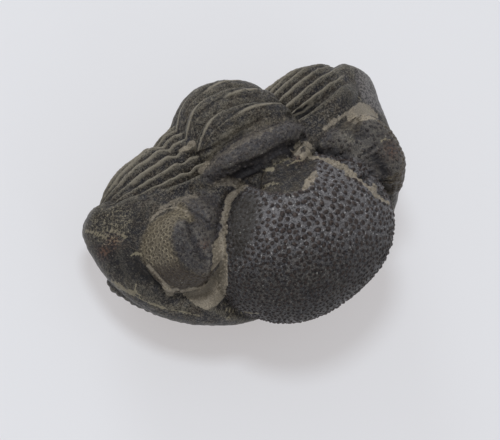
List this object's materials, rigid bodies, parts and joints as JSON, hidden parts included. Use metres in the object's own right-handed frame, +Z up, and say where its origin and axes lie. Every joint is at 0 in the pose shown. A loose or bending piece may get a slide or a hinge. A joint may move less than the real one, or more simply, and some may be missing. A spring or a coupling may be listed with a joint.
{
  "type": "enrolled trilobite fossil",
  "caption": "Fossil sea creature curled into a ball: swollen pimpled forehead, two raised compound eyes, ribbed back tucked under the head.",
  "frame": {"origin": "centre of the bounding box's footprint, on the surface the fossil rests on", "axes": "+Z up, out of the top of the head; -Y out of the front of the head; +X towards the animal's left"},
  "size_m": [0.0316, 0.0234, 0.0175],
  "materials": {
    "stone": "dark grey-brown fossil stone, dull sheen, tan rock in the furrows"
  },
  "bodies": {
    "root": {"trilobite": "stone"}
  },
  "joints": []
}
